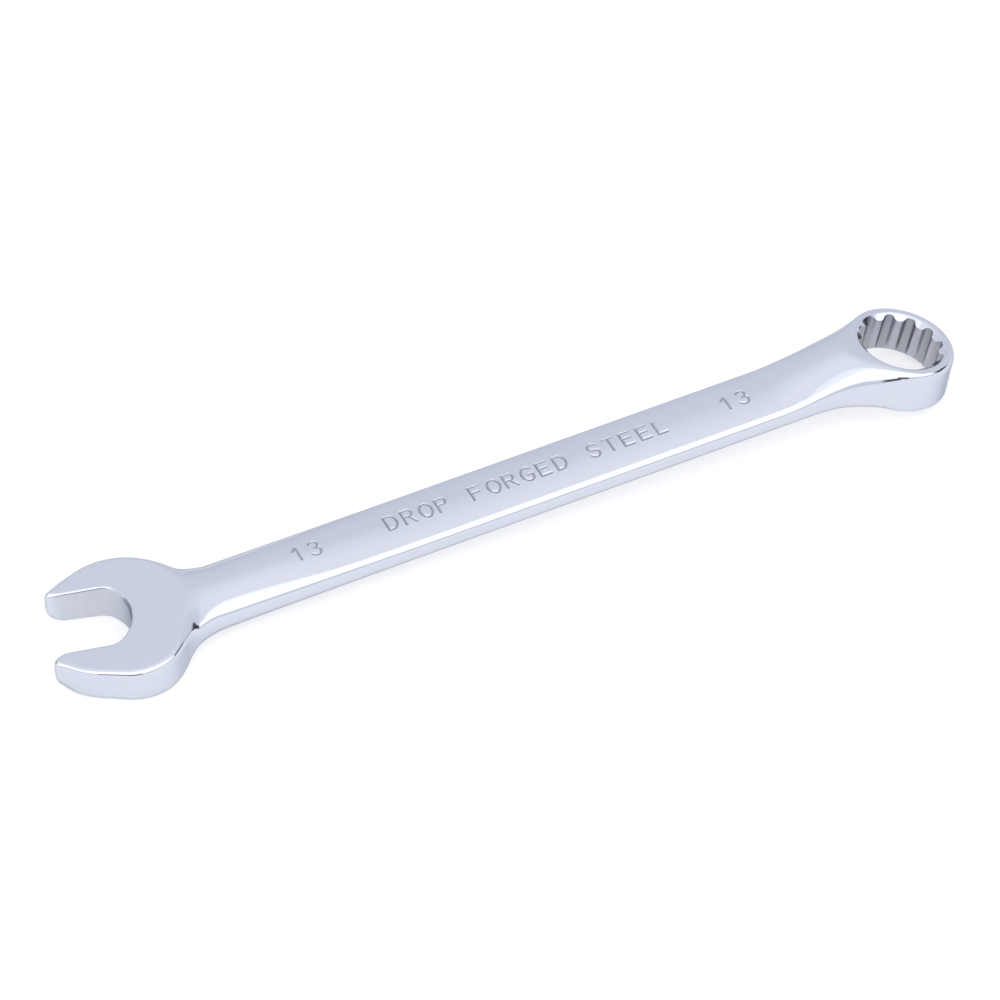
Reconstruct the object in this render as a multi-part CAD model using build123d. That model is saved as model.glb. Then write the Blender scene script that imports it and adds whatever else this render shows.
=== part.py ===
from build123d import *

import os
from math import atan2, cos, degrees, radians, sin, tan

# A 13 mm combination wrench: an open end, a crowned shank and a twelve-point ring
# that is bent down. Millimetres. It is drawn with the open end at the origin, the
# shank along +X and the middle plane of the open end at z = 0, and it is then
# tipped onto the table that it rests on.

# The nut that both ends take, and the clearance that they give it
ACROSS_FLATS = 13.0
CLEARANCE = 0.1
GAP = ACROSS_FLATS + CLEARANCE
LENGTH = 147.25  # from the middle of the open end to the middle of the ring
FAR = 60.0  # further than any cut has to reach

# Open end
HEAD_THICK = 6.8  # at x = 0
HEAD_TAPER = 2.0  # degrees on each face, thinner towards the tips
JAW_ANGLE = 15.0  # between the jaws and the shank
NUT = (-4.55, 2.2)  # where the nut's middle lies
THROAT_RADIUS = 7.9
THROAT_DEPTH = 4.4  # the flats start this far behind the nut's middle
JAW_REACH = 6.6  # and the mouth ends this far in front of it
MOUTH_CORNER = 2.0  # the flats roll out to the mouth on this radius
BACK = (1.69, 2.22, 11.69)  # x, y and radius of the circles that the outline is drawn over
SWEEP = (-0.8, 0.61, 12.44)
HEEL = (1.09, -4.96, 8.61)
TIPS = ((5.31, 7.27, 0.6), (5.44, -8.29, 0.8))  # along the jaws, across them, and radius
HEAD_EDGE = 0.45

# Shank, in sections from inside the open end to inside the ring
SHANK_START, SHANK_STOP, SHANK_STEPS = 9.0, 142.0, 24
SHANK_HALF_WIDTH = 6.2
SHANK_CROWN = 2.75  # half thickness along the middle
CROWN_AT_HEAD = 0.95  # more than that beside the open end, where the crown meets its faces
HEAD_BLEND = (12.0, 70.0)
CROWN_AT_RING = 2.2  # and above the ring, whose near rim stands up
RING_BLEND = (120.0, 139.0)
SHANK_SIDE = 0.9  # half height of the flat side
SIDE_UP, SIDE_DOWN = 1.7, 1.5  # how much the side grows into the barrel of the ring
SIDE_BLEND = (129.0, 144.0)
SHANK_EDGE = 0.7  # rounding between the side and the crown
WEB = (5.0, 20.0)  # the stretch where the open end narrows to the shank
WEB_EDGE = 0.42
NECK_FILLET = 6.5
FLARE_START, FLARE_RADIUS = 132.4, 20.0  # the sides swing out to the ring on this radius

# Ring
RING_TILT = 15.0
RING_RISE = 2.5  # height of the middle of its upper face
RING_RADIUS = 9.95  # at the bottom
RING_TOP_RADIUS = 9.5
RING_THICK = 8.0
RING_EDGE = 0.8
POINTS = 12
POINT_TURN = -13.7  # degrees from the Y axis to the first point
MOUTH = 0.5  # lead-in at both mouths of the socket

# Where the forging is divided into its three named regions
HEAD_END = 17.0
RING_START = 128.0

RING_PLANE = Plane(
    origin=(LENGTH, 0, RING_RISE),
    x_dir=(cos(radians(RING_TILT)), 0, -sin(radians(RING_TILT))),
    z_dir=(sin(radians(RING_TILT)), 0, cos(radians(RING_TILT))),
)


def in_jaws(along, across):
    """A point given from the nut's middle, along the jaws towards their mouth and across them."""
    turn = radians(JAW_ANGLE)
    x = NUT[0] - along * cos(turn) + across * sin(turn)
    y = NUT[1] + along * sin(turn) + across * cos(turn)
    return x, y


def in_jaw_frame(shape):
    """A shape drawn about the nut's middle with +X out through the mouth, put in its place."""
    return Pos(*NUT) * Rot(0, 0, 180 - JAW_ANGLE) * shape


def head_outline():
    """The open end's outline from above, before the jaws are opened."""
    tips = [in_jaws(along, across) + (radius,) for along, across, radius in TIPS]
    circles = [Pos(x, y) * Circle(radius) for x, y, radius in (BACK, SWEEP, HEEL, *tips)]
    return make_hull([edge for circle in circles for edge in circle.edges()])


def jaw_slot():
    """The slot between the jaws, closed by the arc of the throat, about the nut's middle."""
    slot = Pos((FAR - THROAT_DEPTH) / 2, 0) * Rectangle(FAR + THROAT_DEPTH, GAP)
    return slot + (Circle(THROAT_RADIUS) & (Pos(-THROAT_RADIUS / 2, 0) * Rectangle(THROAT_RADIUS, GAP)))


def jaws():
    """The open end's outline with the jaws opened, and their flats rolled out to the mouth."""
    stock = Pos(JAW_REACH - FAR / 2, 0) * Rectangle(FAR, 2 * FAR) - jaw_slot()
    mouth = [v for v in stock.vertices() if v.X > 0 and abs(v.Y) < GAP]
    return head_outline() & in_jaw_frame(fillet(mouth, MOUTH_CORNER))


def open_end():
    """The open end, with its two faces ground flat and slightly tapered."""
    half = HEAD_THICK / 2
    thin, thick = (half + end * FAR * tan(radians(HEAD_TAPER)) for end in (-1, 1))
    wedge = Plane.XZ * Polygon((-FAR, -thin), (FAR, -thick), (FAR, thick), (-FAR, thin), align=None)
    head = extrude(jaws(), FAR, both=True) & extrude(wedge, FAR, both=True)
    faces = head.faces().sort_by(Axis.Z)
    return chamfer(faces[0].edges() + faces[-1].edges(), HEAD_EDGE)


def blend(x, start, stop):
    """0 before start, 1 after stop, and a smooth rise between them."""
    t = min(max((x - start) / (stop - start), 0), 1)
    return t * t * (3 - 2 * t)


def shank_section(x):
    """The section across the shank at x: crowned above and below, flat at the sides."""
    swing = max(x - FLARE_START, 0)
    wide = SHANK_HALF_WIDTH + FLARE_RADIUS - (FLARE_RADIUS**2 - swing**2) ** 0.5
    bottom = SHANK_CROWN + CROWN_AT_HEAD * (1 - blend(x, *HEAD_BLEND))
    top = bottom + CROWN_AT_RING * blend(x, *RING_BLEND)
    bottom += SIDE_DOWN * blend(x, *SIDE_BLEND)
    side_up = SHANK_SIDE + SIDE_UP * blend(x, *SIDE_BLEND)
    side_down = SHANK_SIDE + SIDE_DOWN * blend(x, *SIDE_BLEND)
    edge, bend = wide - SHANK_EDGE, SHANK_EDGE * (1 - cos(radians(45)))
    over, under = side_up + SHANK_EDGE, side_down + SHANK_EDGE
    outline = (
        ThreePointArc((-edge, over), (0, top), (edge, over))
        + ThreePointArc((edge, over), (wide - bend, over - bend), (wide, side_up))
        + Line((wide, side_up), (wide, -side_down))
        + ThreePointArc((wide, -side_down), (wide - bend, bend - under), (edge, -under))
        + ThreePointArc((edge, -under), (0, -bottom), (-edge, -under))
        + ThreePointArc((-edge, -under), (bend - wide, bend - under), (-wide, -side_down))
        + Line((-wide, -side_down), (-wide, side_up))
        + ThreePointArc((-wide, side_up), (bend - wide, over - bend), (-edge, over))
    )
    return Plane(origin=(x, 0, 0), x_dir=(0, 1, 0), z_dir=(1, 0, 0)) * make_face(outline)


def shank():
    step = (SHANK_STOP - SHANK_START) / SHANK_STEPS
    return loft([shank_section(SHANK_START + i * step) for i in range(SHANK_STEPS + 1)], ruled=True)


def head_neck():
    """The web where the open end narrows to the shank, with a fillet on each side."""
    start, stop = WEB
    plan = head_outline() + Pos(FAR / 2, 0) * Rectangle(FAR, 2 * SHANK_HALF_WIDTH)
    plan = offset(offset(plan, NECK_FILLET), -NECK_FILLET)
    plan = plan & Pos((start + stop) / 2, 0) * Rectangle(stop - start, FAR)
    web = extrude(plan, SHANK_SIDE + SHANK_EDGE, both=True)
    rims = web.faces().sort_by(Axis.Z)
    square = 0.05  # the two cuts across the web are left square
    sides = [e for e in rims[0].edges() + rims[-1].edges() if abs(e.tangent_at(0.5).X) > square]
    return chamfer(ShapeList(sides), WEB_EDGE)


def socket():
    """The twelve-point hole: two hexagons, one turned by half a side, with a lead-in at each mouth."""
    corner = GAP / 2 / cos(radians(30))
    turn = 90 + POINT_TURN
    hexagons = [Rot(0, 0, turn + step) * RegularPolygon(corner, 6) for step in (0, 360 / POINTS)]
    hole = extrude(hexagons[0] + hexagons[1], RING_THICK)
    wide = corner + MOUTH / 2
    leads = [Cone(wide - MOUTH, wide, MOUTH, align=(Align.CENTER, Align.CENTER, Align.MAX))]
    leads.append(Pos(0, 0, -RING_THICK) * Rot(180, 0, 0) * leads[0])
    return RING_PLANE * (Pos(0, 0, -RING_THICK) * hole + leads[0] + leads[1])


def ring():
    """The tilted barrel of the ring, without its socket."""
    middle = (Align.CENTER, Align.CENTER, Align.MAX)
    barrel = Cone(RING_RADIUS, RING_TOP_RADIUS, RING_THICK, align=middle)
    return RING_PLANE * fillet(barrel.edges().filter_by(GeomType.CIRCLE), RING_EDGE)


def above_ring():
    """Everything over the ring's upper face."""
    return RING_PLANE * Box(FAR, FAR, FAR, align=(Align.CENTER, Align.CENTER, Align.MIN))


def forging():
    body = shank() + head_neck() - above_ring() + ring() - socket()
    opening = extrude(in_jaw_frame(jaw_slot()), HEAD_THICK, both=True)
    return body - opening + open_end()


def resting(shape):
    """The wrench tipped until it rests on the pad of the open end and the far rim of the ring."""
    pad_x = BACK[0] + BACK[2] - HEAD_EDGE
    pad_z = -(HEAD_THICK / 2 + pad_x * sin(radians(HEAD_TAPER)))
    tilt = radians(RING_TILT)
    reach = RING_RADIUS - RING_EDGE
    depth = RING_THICK - RING_EDGE
    rim_x = LENGTH + reach * cos(tilt) - depth * sin(tilt)
    rim_z = RING_RISE - reach * sin(tilt) - depth * cos(tilt) - RING_EDGE
    rise = degrees(atan2(pad_z - rim_z, rim_x - pad_x))
    return Rot(0, -rise, 0) * shape


def between(shape, low, high):
    """The stretch of the forging between two planes across the shank."""
    return shape & Pos((low + high) / 2, 0, 0) * Box(high - low, FAR, FAR)


def main():
    whole = forging()
    nodes = {
        "open_end": between(whole, -FAR, HEAD_END),
        "shank": between(whole, HEAD_END, RING_START),
        "ring_end": between(whole, RING_START, LENGTH + FAR),
    }
    box = resting(whole).bounding_box()
    home = Pos(-(box.min.X + box.max.X) / 2, -(box.min.Y + box.max.Y) / 2, -box.min.Z)
    os.makedirs("parts", exist_ok=True)
    for name, node in nodes.items():
        export_step(home * resting(node), f"parts/{name}.step")
        print(name, node.is_valid, round(node.volume), "mm3")
    print("box", box.size, "home", home.position)


main()
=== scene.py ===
from math import cos, pi, radians, sin, sqrt, tan, tanh

import bpy
import numpy as np
from mathutils import Matrix, Vector


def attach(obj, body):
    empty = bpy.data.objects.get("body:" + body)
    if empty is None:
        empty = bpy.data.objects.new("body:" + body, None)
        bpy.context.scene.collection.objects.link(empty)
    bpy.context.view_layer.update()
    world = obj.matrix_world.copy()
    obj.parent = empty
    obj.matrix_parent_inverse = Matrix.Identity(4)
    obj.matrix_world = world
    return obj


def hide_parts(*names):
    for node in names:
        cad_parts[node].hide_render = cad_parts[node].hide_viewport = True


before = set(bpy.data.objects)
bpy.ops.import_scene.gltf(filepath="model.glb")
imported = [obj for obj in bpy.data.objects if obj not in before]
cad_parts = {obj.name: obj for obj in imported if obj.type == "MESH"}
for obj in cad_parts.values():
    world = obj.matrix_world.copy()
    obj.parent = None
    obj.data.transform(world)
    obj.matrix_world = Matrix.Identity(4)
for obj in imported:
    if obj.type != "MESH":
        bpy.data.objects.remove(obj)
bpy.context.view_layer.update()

# ---------------------------------------------------------------------------------------
# The wrench is drawn in millimetres as a field: a function that is negative in the steel,
# zero on its surface and positive outside. The open end is at the origin, the shank runs
# along +X, and the middle plane of the open end is z = 0. RISE and HOME then put it where
# the CAD parts lie, tipped onto the table.
# ---------------------------------------------------------------------------------------
RISE = radians(1.5290)
HOME = (-71.6761, -0.1700, 3.5051)

GAP = 13.1  # across the flats of both ends
LENGTH = 147.25  # from the middle of the open end to the middle of the ring

# Open end
HEAD_HALF = 3.4  # half thickness at x = 0
HEAD_TAPER = radians(2.0)
JAW_ANGLE = radians(15)
NUT = (-4.55, 2.2)
THROAT_RADIUS = 7.9
THROAT_CORNER = 0.6
JAW_REACH = 6.8
TIP_CORNER, TIP_NOSE = 2.8, 0.9
BACK, SWEEP, HEEL = (1.69, 2.22, 11.69), (-0.8, 0.61, 12.44), (1.09, -4.96, 8.61)
FAR_TIP, NEAR_TIP = (-7.8, 10.6, 0.6), (-11.95, -4.4, 0.8)
OUTLINE = (BACK, SWEEP, FAR_TIP, SWEEP, NEAR_TIP, SWEEP, HEEL)  # counterclockwise
HEAD_EDGE, LOWER_EDGE, SLOT_EDGE = 0.65, 0.25, 0.4
TIP_EDGE, TIP_CHIN = 1.0, 2.7  # rounding of a tip above and below
SLOT_RIM = (0, 1.5)  # the slot's own edge rounding changes to the outline's over this distance
TIP_BLEND = (2.5, 6.2)  # along the jaws, where their rounding grows to that of the tips

# Shank
HALF_WIDTH = 6.2
CROWN, SHOULDER = 2.75, 1.6  # half thickness along the middle and at the sides
CROWN_AT_HEAD, HEAD_BLEND = 1.1, (12, 60)
SHOULDER_AT_HEAD, SHOULDER_BLEND = 0.2, (12, 22)
CROWN_AT_RING, SHOULDER_AT_RING, RING_BLEND = 2.7, 1.6, (121, 138)
BELLY_AT_RING, BELLY_BLEND = 3.0, (130, 147)
SHANK_EDGE = 1.0
CROWN_REACH = 12  # half of the widest stretch that the crown spans
NECK_FILLET = 5.8
NECK_FROM = 4  # where the shank starts, inside the open end
FACE_BLEND = (-1.0, 2.0)  # off the open end's outline, where its faces run out into the crown

# Ring
RING_TILT = radians(15)
RING_RISE = 2.5
RING_RADIUS, RING_THICK, RING_DRAFT = 9.95, 8.0, 0.056
RING_EDGE, RING_LOWER_EDGE = 1.2, 0.8
RING_FILLET, FILLET_SIDES, FILLET_END = 2.0, (4, 7.5), (-6, -2)  # below the neck only
LEAST_FILLET = 0.01
FACE_EASE = 0.5  # where the neck's crown runs into the ring's upper face
FLARE_RADIUS = 40.0
NECK_EDGE, NECK_EDGE_BLEND, RIM_BLEND = 2.0, (126, 141), (-11, -4)
POINT_TURN = radians(-13.7)
POINTS, POINT_RADIUS, POINT_HEIGHT, POINT_FULLNESS = 12, 7.2, 0.42, 1.8
POINT_STEEPNESS = 0.75  # about the slope of a point's side; it keeps the field even
LEAD_RADIUS, LEAD_SLOPE = 7.98, 1.25
SOCKET_EDGE = 0.15

# The seams between the three named regions
HEAD_END, RING_START = 17.0, 128.0


def blend(x, start, stop):
    """0 before start, 1 after stop, and a smooth rise between them."""
    t = np.clip((x - start) / (stop - start), 0, 1)
    return t * t * (3 - 2 * t)


def joined(a, b, r):
    """Two bodies as one, with a fillet of radius r where they meet."""
    return np.maximum(r, np.minimum(a, b)) - np.hypot(np.maximum(r - a, 0), np.maximum(r - b, 0))


def common(a, b, r):
    """What two bodies share, with its edge rounded to the radius r."""
    return np.minimum(-r, np.maximum(a, b)) + np.hypot(np.maximum(r + a, 0), np.maximum(r + b, 0))


def eased(a, b, k):
    """What two bodies share, where their faces cross at a small angle."""
    h = np.maximum(k - np.abs(a - b), 0) / k
    return np.maximum(a, b) + h * h * k / 4


def outline(x, y):
    """The open end's outline: the hull of the circles in OUTLINE."""
    normals = []
    for i, (ax, ay, ar) in enumerate(OUTLINE):
        bx, by, br = OUTLINE[(i + 1) % len(OUTLINE)]
        dx, dy = bx - ax, by - ay
        d = sqrt(dx * dx + dy * dy)
        s = (ar - br) / d
        c = sqrt(1 - s * s)
        normals.append(((s * dx + c * dy) / d, (s * dy - c * dx) / d))
    field = np.full(np.shape(x), -1e9)
    for i, (cx, cy, cr) in enumerate(OUTLINE):
        u, v = x - cx, y - cy
        (px, py), (nx, ny) = normals[i - 1], normals[i]
        after, before = px * v - py * u >= 0, u * ny - v * nx >= 0
        arc = (after | before) if px * ny - py * nx < 0 else (after & before)
        field = np.maximum(field, u * nx + v * ny - cr)
        field = np.where(arc, np.maximum(field, np.hypot(u, v) - cr), field)
    return field


def slot(x, y):
    """The opening between the jaws."""
    dx, dy = x - NUT[0], y - NUT[1]
    along = dy * sin(JAW_ANGLE) - dx * cos(JAW_ANGLE)
    across = dx * sin(JAW_ANGLE) + dy * cos(JAW_ANGLE)
    throat = np.hypot(np.minimum(along, 0), across) - THROAT_RADIUS
    return common(np.abs(across) - GAP / 2, throat, THROAT_CORNER), along


def crown(y, z, wide, middle, shoulder):
    """A crowned surface, at the height middle along the centre and shoulder at the sides."""
    sag = middle - shoulder
    radius = (wide * wide + sag * sag) / (2 * sag)
    return np.hypot(y, z - middle + radius) - radius


def crowns(x, y, z, side):
    """The crowned upper and lower surfaces of the shank, between the sides of its outline."""
    wide = np.clip(np.abs(y) - side, HALF_WIDTH, CROWN_REACH)
    middle = CROWN + CROWN_AT_HEAD * (1 - blend(x, *HEAD_BLEND))
    shoulder = SHOULDER + SHOULDER_AT_HEAD * (1 - blend(x, *SHOULDER_BLEND))
    rise, drop = blend(x, *RING_BLEND), BELLY_AT_RING * blend(x, *BELLY_BLEND)
    over = crown(y, z, wide, middle + CROWN_AT_RING * rise, shoulder + SHOULDER_AT_RING * rise)
    return over, crown(y, -z, wide, middle + drop, shoulder + drop)


def waist(x, y):
    """The outline of the open end and the shank together, with the fillets between them."""
    bar = np.maximum(np.abs(y) - HALF_WIDTH, NECK_FROM - x)
    return joined(outline(x, y), bar, NECK_FILLET)


def open_end(x, y, z):
    """The jaws, whose faces run out into the crowned shank."""
    gap, along = slot(x, y)
    side = waist(x, y)
    plan = common(side, common(-gap, along - JAW_REACH, TIP_CORNER), TIP_NOSE)
    half = HEAD_HALF + x * tan(HEAD_TAPER)
    over, under = crowns(x, y, z, side)
    share = blend(outline(x, y), *FACE_BLEND)
    top = (z - half) * (1 - share) + over * share
    bottom = (-z - half) * (1 - share) + under * share
    rim, tip = blend(-gap, *SLOT_RIM), blend(along, *TIP_BLEND)
    body = plan
    for face, outer, end in ((top, HEAD_EDGE, TIP_EDGE), (bottom, LOWER_EDGE, TIP_CHIN)):
        edge = SLOT_EDGE + (outer - SLOT_EDGE) * rim
        edge = edge + (SHANK_EDGE - edge) * share
        body = common(body, face, edge + (end - edge) * tip)
    return body


def in_ring(x, z):
    """A point's place along the ring's face and above it."""
    u, w = x - LENGTH, z - RING_RISE
    return u * cos(RING_TILT) - w * sin(RING_TILT), u * sin(RING_TILT) + w * cos(RING_TILT)


def barrel_radius(w):
    """The ring's radius at each height; it is narrower towards its upper face."""
    return RING_RADIUS - RING_DRAFT * np.clip(w + RING_THICK, 0, RING_THICK)


def neck_plan(u, y, w):
    """The shank's sides, the arcs on which they swing out, and the barrel of the ring."""
    y = np.abs(y)
    radius = barrel_radius(w)
    fy = HALF_WIDTH + FLARE_RADIUS
    fx = np.sqrt((FLARE_RADIUS + radius) ** 2 - fy * fy)
    p, q = u + fx, y - fy
    flare = (p > 0) & (fx * q + fy * p < 0)
    rest = np.where(p <= 0, y - HALF_WIDTH, np.hypot(u, y) - radius)
    return np.where(flare, FLARE_RADIUS - np.hypot(p, q), rest)


def socket_turn(u, y):
    """The angle round the socket, counted in points."""
    return POINTS * (np.arctan2(y, u) - pi / 2 - POINT_TURN)


def lead_in(u, y, w):
    """The cones at the socket's two mouths."""
    depth = np.minimum(-w, w + RING_THICK)
    return (np.hypot(u, y) - LEAD_RADIUS + LEAD_SLOPE * depth) / sqrt(1 + LEAD_SLOPE**2)


def socket(u, y, w):
    """The twelve-point hole, with a conical lead-in at each mouth."""
    turn = socket_turn(u, y)
    wave = np.tanh(POINT_FULLNESS * np.cos(turn)) / tanh(POINT_FULLNESS)
    steepness = np.sqrt(1 + (POINT_STEEPNESS * np.sin(turn)) ** 2)
    hole = (np.hypot(u, y) - POINT_RADIUS - POINT_HEIGHT * wave) / steepness
    return np.minimum(hole, lead_in(u, y, w))


def neck_edge(x):
    """The rounding of the shank's upper edges, which grows along the neck."""
    return SHANK_EDGE + (NECK_EDGE - SHANK_EDGE) * blend(x, *NECK_EDGE_BLEND)


def ring_end(x, y, z):
    """The ring, and the neck that rises into it."""
    u, w = in_ring(x, z)
    side = neck_plan(u, y, w)
    over, under = crowns(x, y, z, side)
    neck = common(side, under, SHANK_EDGE)
    wall = np.hypot(u, y) - barrel_radius(w)
    barrel = common(wall, -w - RING_THICK, RING_LOWER_EDGE)
    fillet = RING_FILLET * (1 - blend(np.abs(y), *FILLET_SIDES))
    fillet = fillet * (1 - blend(u, *FILLET_END)) + LEAST_FILLET
    edge = neck_edge(x)
    edge = edge + (RING_EDGE - edge) * blend(u, *RIM_BLEND)
    body = common(joined(neck, barrel, fillet), eased(over, w, FACE_EASE), edge)
    return common(body, -socket(u, y, w), SOCKET_EDGE)


# ---------------------------------------------------------------------------------------
# Marks: the size number twice and a plain trade line, stamped as V-shaped strokes
# ---------------------------------------------------------------------------------------
CAP = 3.0  # height of the letters
STROKE_HALF, STROKE_DEPTH = 0.28, 0.2
FAR = 9.0  # further than any stroke reaches
STROKE_REACH = 0.5  # how far from a letter its strokes are still looked for


def arc(cx, cy, rx, ry, start, stop, steps=8):
    """Points on an arc of an ellipse, from one angle in degrees to another."""
    turns = np.radians(np.linspace(start, stop, steps + 1))
    return [(cx + rx * cos(t), cy + ry * sin(t)) for t in turns]


STEM = [(0, 0), (0, 1)]
BOWL = [(0, 1)] + arc(0.36, 0.76, 0.24, 0.24, 90, -90) + [(0, 0.52)]
GLYPHS = {
    "D": [STEM, [(0, 1)] + arc(0.26, 0.5, 0.38, 0.5, 90, -90, 12) + [(0, 0)]],
    "R": [STEM, BOWL, [(0.3, 0.52), (0.62, 0)]],
    "O": [arc(0.36, 0.5, 0.36, 0.5, 0, 360, 20)],
    "P": [STEM, BOWL],
    "F": [STEM, [(0, 1), (0.58, 1)], [(0, 0.52), (0.5, 0.52)]],
    "G": [arc(0.38, 0.5, 0.38, 0.5, 48, 318, 16) + [(0.66, 0.44), (0.4, 0.44)]],
    "E": [STEM, [(0, 1), (0.58, 1)], [(0, 0.52), (0.5, 0.52)], [(0, 0), (0.6, 0)]],
    "S": [arc(0.31, 0.75, 0.28, 0.25, 30, 270, 10) + arc(0.31, 0.25, 0.3, 0.25, 90, -150, 10)],
    "T": [[(0.32, 0), (0.32, 1)], [(0, 1), (0.64, 1)]],
    "L": [STEM, [(0, 0), (0.56, 0)]],
    "1": [[(0.36, 0), (0.36, 1), (0.08, 0.74)]],
    "3": [arc(0.3, 0.76, 0.27, 0.24, 150, -90, 10) + arc(0.3, 0.26, 0.31, 0.26, 90, -150, 10)],
}
MARKS = (("13", 32.2, 3.1), ("DROP FORGED STEEL", 49.4, 3.15), ("13", 112.4, 3.1))


def strokes():
    """The strokes of each letter, with the stretch of the shank that it takes up."""
    letters = []
    for text, start, pitch in MARKS:
        for i, letter in enumerate(text):
            if letter == " ":
                continue
            segments = []
            for line in GLYPHS[letter]:
                placed = [(start + i * pitch + CAP * px, CAP * (py - 0.5)) for px, py in line]
                segments += [a + b for a, b in zip(placed, placed[1:]) if a != b]
            segments = np.array(segments)
            ends = segments[:, 0::2]
            letters.append((ends.min() - STROKE_REACH, ends.max() + STROKE_REACH, segments))
    return letters


LETTERS = strokes()


def from_marks(x, y):
    """Distance from the middle of the nearest stroke."""
    far = np.full(np.shape(x), FAR)
    for low, high, segments in LETTERS:
        near = np.nonzero((x > low) & (x < high) & (np.abs(y) < CAP))
        px, py = x[near], y[near]
        for ax, ay, bx, by in segments:
            dx, dy = bx - ax, by - ay
            t = np.clip(((px - ax) * dx + (py - ay) * dy) / max(dx * dx + dy * dy, 1e-9), 0, 1)
            far[near] = np.minimum(far[near], np.hypot(px - ax - t * dx, py - ay - t * dy))
    return far


def shank(x, y, z):
    """The plain stretch between the seams, with its marks."""
    u, w = in_ring(x, z)
    side = np.where(x < LENGTH / 2, waist(x, y), neck_plan(u, y, w))
    over, under = crowns(x, y, z, side)
    bar = common(common(side, eased(over, w, FACE_EASE), neck_edge(x)), under, SHANK_EDGE)
    slope = STROKE_HALF / STROKE_DEPTH
    cut = np.full(np.shape(x), -FAR)
    top = z > 0
    depth = STROKE_HALF + slope * bar[top] - from_marks(x[top], y[top])
    cut[top] = depth / sqrt(1 + slope * slope)
    return np.maximum(bar, cut)


# ---------------------------------------------------------------------------------------
# Meshing: a vertex in each cell of a grid that the surface passes through, moved onto the
# surface, with the surface's own direction as its normal
# ---------------------------------------------------------------------------------------
def slopes(field, p, step=0.01):
    """The field's gradient at the points p."""
    out = np.empty_like(p)
    for d in range(3):
        shift = np.zeros(3)
        shift[d] = step
        out[:, d] = (field(*(p + shift).T) - field(*(p - shift).T)) / (2 * step)
    return out


def nets(field, axes, seams):
    """The field's zero surface, closed flat at the seams: vertices and faces, which vertices
    lie on a seam, and which cells the surface itself passes through."""
    low, high = seams
    gx, gy, gz = np.meshgrid(*axes, indexing="ij")
    value = field(gx.ravel(), gy.ravel(), gz.ravel()).reshape(gx.shape)
    bare = value < 0
    value = np.maximum(value, np.maximum(gx - high, low - gx))
    cells = tuple(n - 1 for n in value.shape)
    total = np.zeros((3, cells[0] * cells[1] * cells[2]))
    count = np.zeros(cells[0] * cells[1] * cells[2])
    rings = []
    for d in range(3):
        first = [slice(None)] * 3
        second = [slice(None)] * 3
        first[d], second[d] = slice(None, -1), slice(1, None)
        a, b = value[tuple(first)], value[tuple(second)]
        at = np.nonzero((a < 0) != (b < 0))
        t = a[at] / (a[at] - b[at])
        place = [axes[e][at[e]] for e in range(3)]
        place[d] = place[d] + t * (axes[d][at[d] + 1] - axes[d][at[d]])
        e, f = (d + 1) % 3, (d + 2) % 3
        ring = []
        for oe, of in ((0, 0), (-1, 0), (-1, -1), (0, -1)):
            cell = list(at)
            cell[e], cell[f] = cell[e] + oe, cell[f] + of
            flat = np.ravel_multi_index(cell, cells)
            ring.append(flat)
            count += np.bincount(flat, minlength=count.size)
            for k in range(3):
                total[k] += np.bincount(flat, place[k], count.size)
        ring = np.stack(ring, 1)
        flip = a[at] >= 0
        ring[flip] = ring[flip, ::-1]
        rings.append(ring)
    live = np.nonzero(count)[0]
    number = np.full(count.size, -1)
    number[live] = np.arange(live.size)
    points = (total[:, live] / count[live]).T
    faces = number[np.concatenate(rings)]
    i, j, k = np.unravel_index(live, cells)
    inside = np.zeros(live.size, int)
    for di, dj, dk in np.ndindex(2, 2, 2):
        inside += bare[i + di, j + dj, k + dk]
    mixed = (inside > 0) & (inside < 8)
    seam = np.zeros(live.size, bool)
    for plane in seams:
        here = (axes[0][i] < plane) & (plane < axes[0][i + 1])
        points[here, 0] = plane
        seam |= here
    return points, faces, seam, mixed


def settle(field, points, seam, mixed, steps=6):
    """Moves the points onto the surface; those on a seam stay in its plane."""
    free = ~seam | mixed
    for _ in range(steps):
        p = points[free]
        g = slopes(field, p)
        g[seam[free], 0] = 0
        move = field(*p.T) / np.maximum((g * g).sum(1), 0.2)
        points[free] = p - np.clip(move, -0.1, 0.1)[:, None] * g
    return points


def even(*stretches):
    """Grid lines from stretches of (start, stop, spacing)."""
    lines = []
    for start, stop, spacing in stretches:
        count = max(1, round((stop - start) / spacing))
        lines += list(np.linspace(start, stop, count, endpoint=False))
    return np.array(lines + [stretches[-1][1]])


TIP = Matrix.Rotation(-RISE, 3, "Y")


def to_frame(points):
    """From the drawing, in millimetres, to the frame, in metres."""
    return (points @ np.array(TIP).T + np.array(HOME)) / 1000


def make_piece(name, node, field, axes, seams):
    """A piece in place of the CAD node, with its points in the drawing."""
    points, faces, seam, mixed = nets(field, axes, seams)
    points = settle(field, points, seam, mixed)
    normals = slopes(field, points, 0.02)
    normals /= np.linalg.norm(normals, axis=1)[:, None]
    mesh = bpy.data.meshes.new(name)
    mesh.from_pydata(to_frame(points).tolist(), [], faces.tolist())
    mesh.polygons.foreach_set("use_smooth", np.ones(len(faces), bool))
    flat = seam[faces].all(1) & (np.ptp(points[faces][:, :, 0], axis=1) < 1e-6)
    loops = normals[faces]
    out = np.where(points[faces][:, 0, 0] > (seams[0] + seams[1]) / 2, 1.0, -1.0)
    loops[flat] = 0
    loops[flat, :, 0] = out[flat, None]
    loops = loops.reshape(-1, 3) @ np.array(TIP).T
    mesh.normals_split_custom_set(loops.tolist())
    piece = bpy.data.objects.new(name, mesh)
    bpy.context.scene.collection.objects.link(piece)
    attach(piece, "root")
    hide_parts(node)
    print(name, len(points), "vertices", len(faces), "faces")
    return piece, points


def mask(piece, values):
    """How far each vertex is left unpolished, and, at the socket's points, how far it is darkened as
    painted shade.
    """
    attribute = piece.data.attributes.new("raw_and_shade", "FLOAT", "POINT")
    attribute.data.foreach_set("value", values.astype(np.float32))


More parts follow.
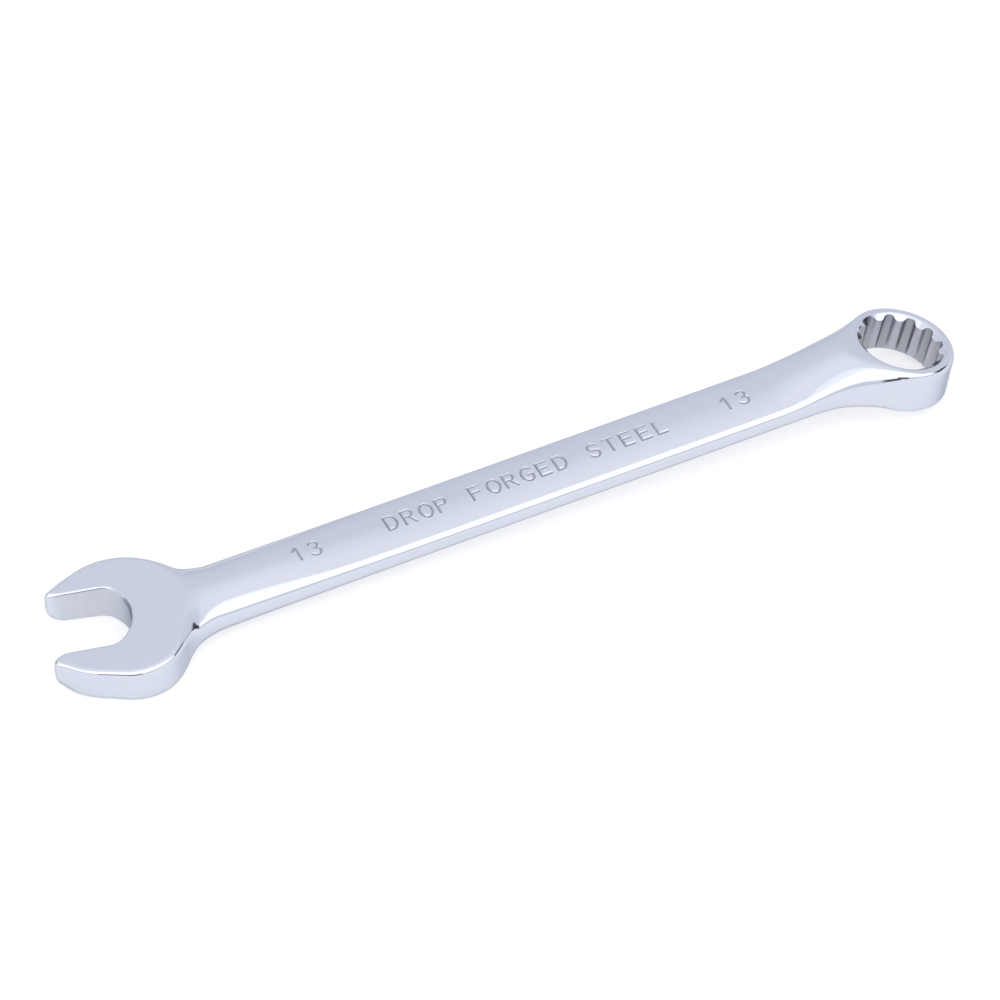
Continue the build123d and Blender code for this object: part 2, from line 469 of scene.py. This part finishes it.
# Spacings of the grids, and the space that each one covers, a little past its piece
FINE = 0.17
LONG, PLAIN, MARKED = 0.45, 0.32, 0.13  # along the plain shank, across it, and at the marks
HEAD_X, HEAD_Y, HEAD_Z = -17.5, (-14.2, 14.6), (-4.3, 4.3)
RING_X, RING_Y, RING_Z = 158.4, (-10.4, 10.4), (-8.6, 5.3)
SHANK_Y, SHANK_Z, MARK_Y = 7.5, 4.9, 1.75
MARKED_X = ((31.4, 38.4), (48.8, 102.6), (111.6, 118.6))
OPEN_SIDE = 999  # a seam out of reach, on the side where a piece has none

SLOT_RAW, SLOT_RAW_END = 0.3, (2.5, 5)  # the jaws' flats are less polished, except at the tips
RAW_EDGE = (0.02, 0.12)  # how sharply the unpolished surfaces end
MARK_RAW_EDGE = (0.14, 0.28)
LEAD_RAW_EDGE = (0.02, 0.1)
VALLEY_DULL_AND_SHADE = 0.3  # the points of the socket are duller than the lands between them, and darker there as painted shade in the recesses


def shank_lines():
    """Grid lines along the shank, close together where the marks are."""
    at = HEAD_END + LONG / 2
    stretches = []
    for start, stop in MARKED_X:
        stretches += [(at, start, LONG), (start, stop, MARKED)]
        at = stop
    stretches.append((at, RING_START - LONG / 2, LONG))
    return np.concatenate([[HEAD_END - LONG / 2], even(*stretches), [RING_START + LONG / 2]])


head_axes = (
    np.arange(HEAD_END + FINE / 2, HEAD_X, -FINE)[::-1],
    even((*HEAD_Y, FINE)),
    even((*HEAD_Z, FINE)),
)
ring_axes = (
    np.arange(RING_START - FINE / 2, RING_X, FINE),
    even((*RING_Y, FINE)),
    even((*RING_Z, FINE)),
)
shank_axes = (
    shank_lines(),
    even((-SHANK_Y, -MARK_Y, PLAIN), (-MARK_Y, MARK_Y, MARKED), (MARK_Y, SHANK_Y, PLAIN)),
    even((-SHANK_Z, SHANK_Z, PLAIN)),
)

seams = (-OPEN_SIDE, HEAD_END)
head_piece, p = make_piece("open_end_forging", "open_end", open_end, head_axes, seams)
gap, along = slot(p[:, 0], p[:, 1])
flats = SLOT_RAW * (1 - blend(np.abs(gap), *RAW_EDGE))
mask(head_piece, flats * (1 - blend(along, *SLOT_RAW_END)))

seams = (HEAD_END, RING_START)
shank_piece, p = make_piece("shank_forging", "shank", shank, shank_axes, seams)
mark = np.where(p[:, 2] > 0, from_marks(p[:, 0], p[:, 1]), FAR)
mask(shank_piece, 1 - blend(mark, *MARK_RAW_EDGE))

seams = (RING_START, OPEN_SIDE)
ring_piece, p = make_piece("ring_forging", "ring_end", ring_end, ring_axes, seams)
u, w = in_ring(p[:, 0], p[:, 2])
bore = 1 - blend(np.abs(socket(u, p[:, 1], w)), *RAW_EDGE)
# Painted shade: the socket's points, its recesses, get a darker, duller colour than the lands between
# them
valley_dull_and_shade = 1 + VALLEY_DULL_AND_SHADE * np.cos(socket_turn(u, p[:, 1]))
mask(ring_piece, bore * valley_dull_and_shade * blend(lead_in(u, p[:, 1], w), *LEAD_RAW_EDGE))


# ---------------------------------------------------------------------------------------
# Chrome
# ---------------------------------------------------------------------------------------
def chrome():
    """Mirror-polished plate, duller and lightly scratched where a vertex is left unpolished, and
    darker in the socket's points as painted shade.
    """
    material = bpy.data.materials.new("chrome_plate")
    material.use_nodes = True
    nodes, links = material.node_tree.nodes, material.node_tree.links
    nodes.clear()
    out = nodes.new("ShaderNodeOutputMaterial")
    shader = nodes.new("ShaderNodeBsdfPrincipled")
    links.new(shader.outputs[0], out.inputs["Surface"])
    shader.inputs["Metallic"].default_value = 1.0
    shader.inputs["Specular Tint"].default_value = (0.55, 0.57, 0.62, 1)
    place = nodes.new("ShaderNodeTexCoord")
    raw_and_shade = nodes.new("ShaderNodeAttribute")
    raw_and_shade.attribute_name = "raw_and_shade"

    def noise(scale, detail, vector=None, rough=0.5):
        """A noise texture in the piece's own space, or in the space of another vector."""
        n = nodes.new("ShaderNodeTexNoise")
        n.inputs["Scale"].default_value = scale
        n.inputs["Detail"].default_value = detail
        n.inputs["Roughness"].default_value = rough
        links.new(vector or place.outputs["Object"], n.inputs["Vector"])
        return n.outputs["Fac"]

    def calculate(operation, *values):
        """A math node on numbers and on other nodes' outputs."""
        n = nodes.new("ShaderNodeMath")
        n.operation = operation
        for entry, value in zip(n.inputs, values):
            if isinstance(value, (int, float)):
                entry.default_value = value
            else:
                links.new(value, entry)
        return n.outputs[0]

    turn = nodes.new("ShaderNodeMapping")
    turn.inputs["Rotation"].default_value = (0, -(RING_TILT - RISE), 0)
    turn.inputs["Scale"].default_value = (1, 1, 0.04)
    links.new(place.outputs["Object"], turn.inputs["Vector"])
    broach = noise(2600, 4, turn.outputs[0], 0.65)
    cloud = noise(60, 3)
    grain = noise(900, 2)
    tint = nodes.new("ShaderNodeMix")
    tint.data_type = "RGBA"
    tint.inputs["A"].default_value = (0.60, 0.63, 0.715, 1)
    tint.inputs["B"].default_value = (0.63, 0.655, 0.735, 1)
    links.new(cloud, tint.inputs["Factor"])
    # This dark colour is the unpolished steel's own colour, and in the socket's points it is also
    # painted shade
    dull_and_shade = nodes.new("ShaderNodeMix")
    dull_and_shade.data_type = "RGBA"
    dull_and_shade.inputs["B"].default_value = (0.42, 0.43, 0.47, 1)
    scratches = calculate("MULTIPLY_ADD", broach, 0.9, 0.45)
    links.new(calculate("MULTIPLY", raw_and_shade.outputs["Fac"], scratches), dull_and_shade.inputs["Factor"])
    links.new(tint.outputs["Result"], dull_and_shade.inputs["A"])
    links.new(dull_and_shade.outputs["Result"], shader.inputs["Base Color"])
    polished = calculate("MULTIPLY_ADD", grain, 0.03, 0.045)
    unpolished = calculate("MULTIPLY_ADD", broach, 0.12, 0.2)
    rough = calculate("MULTIPLY_ADD", raw_and_shade.outputs["Fac"], unpolished, polished)
    links.new(rough, shader.inputs["Roughness"])
    fine = nodes.new("ShaderNodeBump")
    fine.inputs["Distance"].default_value = 0.00002
    fine.inputs["Strength"].default_value = 0.35
    links.new(calculate("MULTIPLY", broach, raw_and_shade.outputs["Fac"]), fine.inputs["Height"])
    wave = nodes.new("ShaderNodeBump")
    wave.inputs["Distance"].default_value = 0.00005
    wave.inputs["Strength"].default_value = 0.06
    links.new(noise(260, 1), wave.inputs["Height"])
    links.new(fine.outputs[0], wave.inputs["Normal"])
    links.new(wave.outputs[0], shader.inputs["Normal"])
    return material


plate = chrome()
for piece in (head_piece, shank_piece, ring_piece):
    piece.data.materials.append(plate)


# ---------------------------------------------------------------------------------------
# Camera
# ---------------------------------------------------------------------------------------
AZIMUTH, ELEVATION, ROLL = radians(-24.79), radians(45.0), radians(-1.66)
DISTANCE = 1064.6
FOCAL = 6.318  # of the picture's width
SENSOR = 36
MIDDLE = 73.7  # of the wrench, along the shank
CENTRE = (0.01697, 0.01123)  # where the middle of the wrench lies from the middle of the picture

back = Vector((sin(AZIMUTH) * cos(ELEVATION), -cos(AZIMUTH) * cos(ELEVATION), sin(ELEVATION)))
across = Vector((cos(AZIMUTH), sin(AZIMUTH), 0))
upward = back.cross(across)
right = across * cos(ROLL) + upward * sin(ROLL)
up = upward * cos(ROLL) - across * sin(ROLL)
target = Vector((MIDDLE, 0, 0))
aside, above = CENTRE[0] / FOCAL * DISTANCE, CENTRE[1] / FOCAL * DISTANCE
eye = target + back * DISTANCE - right * aside - up * above
camera = bpy.data.objects.new("camera", bpy.data.cameras.new("camera"))
bpy.context.scene.collection.objects.link(camera)
camera.data.sensor_width = SENSOR
camera.data.lens = FOCAL * SENSOR
camera.data.clip_start, camera.data.clip_end = 0.05, 50
basis = Matrix((right, up, back)).transposed()
camera.matrix_world = Matrix.Translation((TIP @ eye + Vector(HOME)) / 1000) @ (TIP @ basis).to_4x4()
bpy.context.scene.camera = camera

# ---------------------------------------------------------------------------------------
# Floor and light
# ---------------------------------------------------------------------------------------
FLOOR_RADIUS, FLOOR_SIDES = 6, 64

floor_mesh = bpy.data.meshes.new("floor")
turns = np.linspace(0, 2 * pi, FLOOR_SIDES, endpoint=False)
rim = [(FLOOR_RADIUS * cos(t), FLOOR_RADIUS * sin(t), 0) for t in turns]
floor_mesh.from_pydata(rim, [], [list(range(FLOOR_SIDES))])
floor = bpy.data.objects.new("floor", floor_mesh)
bpy.context.scene.collection.objects.link(floor)
paper = bpy.data.materials.new("pale_floor")
paper.use_nodes = True
shader = paper.node_tree.nodes["Principled BSDF"]
shader.inputs["Base Color"].default_value = (0.5, 0.5, 0.5, 1)
shader.inputs["Roughness"].default_value = 1.0
shader.inputs["Specular IOR Level"].default_value = 0.0
shader.inputs["Emission Color"].default_value = (1, 1, 1, 1)
shader.inputs["Emission Strength"].default_value = 0.55
floor_mesh.materials.append(paper)

# The room: its colour at each height, and then its panels, each as azimuth, half width, lowest
# and highest elevation and softness in degrees, and colour
SKY = (
    (0.0, (0.98, 0.99, 1.02)),
    (0.10, (0.90, 0.92, 0.99)),
    (0.7, (0.92, 0.94, 1.0)),
    (0.96, (1.15, 1.15, 1.18)),
)
PANELS = (
    (-105, 75, 16, 78, 11, (1.7, 1.7, 1.72)),
    (-115, 15, 0, 7, 3, (0.18, 0.17, 0.20)),
    (-115, 15, 7, 13, 3, (0.03, 0.03, 0.05)),
    (-14, 12, 3, 25, 5, (0.08, 0.08, 0.09)),
    (137, 12, 3, 22, 5, (0.08, 0.08, 0.09)),
)


def studio():
    """A pale room with a large light panel and a few dark ones low down, for the chrome to mirror."""
    world = bpy.data.worlds.new("studio")
    bpy.context.scene.world = world
    world.use_nodes = True
    nodes, links = world.node_tree.nodes, world.node_tree.links
    nodes.clear()
    out = nodes.new("ShaderNodeOutputWorld")
    sky = nodes.new("ShaderNodeBackground")
    links.new(sky.outputs[0], out.inputs["Surface"])
    place = nodes.new("ShaderNodeTexCoord")
    height = nodes.new("ShaderNodeSeparateXYZ")
    links.new(place.outputs["Generated"], height.inputs[0])
    ramp = nodes.new("ShaderNodeValToRGB")
    links.new(height.outputs["Z"], ramp.inputs["Fac"])
    elements = ramp.color_ramp.elements
    for i, (at, colour) in enumerate(SKY):
        stop = elements[i] if i < len(elements) else elements.new(at)
        stop.position = at
        stop.color = (*colour, 1)
    flat = nodes.new("ShaderNodeVectorMath")
    flat.operation = "MULTIPLY"
    flat.inputs[1].default_value = (1, 1, 0)
    links.new(place.outputs["Generated"], flat.inputs[0])
    level = nodes.new("ShaderNodeVectorMath")
    level.operation = "NORMALIZE"
    links.new(flat.outputs[0], level.inputs[0])

    def panel(last, azimuth, half, low, high, soft, colour):
        """A patch of the room: an arc of the horizon, and the heights that it covers."""
        side = nodes.new("ShaderNodeVectorMath")
        side.operation = "DOT_PRODUCT"
        side.inputs[1].default_value = (cos(azimuth), sin(azimuth), 0)
        links.new(level.outputs["Vector"], side.inputs[0])
        parts = []
        for value, start, stop in (
            (side.outputs["Value"], cos(half + soft), cos(half)),
            (height.outputs["Z"], sin(low) - soft / 2, sin(low) + soft / 2),
            (height.outputs["Z"], sin(high) + soft / 2, sin(high) - soft / 2),
        ):
            reach = nodes.new("ShaderNodeMapRange")
            reach.interpolation_type = "SMOOTHSTEP"
            reach.inputs["From Min"].default_value = start
            reach.inputs["From Max"].default_value = stop
            links.new(value, reach.inputs["Value"])
            parts.append(reach.outputs[0])
        for i in (0, 1):
            product = nodes.new("ShaderNodeMath")
            product.operation = "MULTIPLY"
            links.new(parts[i], product.inputs[0])
            links.new(parts[i + 1], product.inputs[1])
            parts[i + 1] = product.outputs[0]
        mix = nodes.new("ShaderNodeMix")
        mix.data_type = "RGBA"
        mix.inputs["B"].default_value = (*colour, 1)
        links.new(parts[2], mix.inputs["Factor"])
        links.new(last, mix.inputs["A"])
        return mix.outputs["Result"]

    last = ramp.outputs["Color"]
    for *angles, colour in PANELS:
        last = panel(last, *map(radians, angles), colour)
    links.new(last, sky.inputs["Color"])
    sky.inputs["Strength"].default_value = 1.0


studio()
bpy.context.scene.view_settings.view_transform = "Standard"
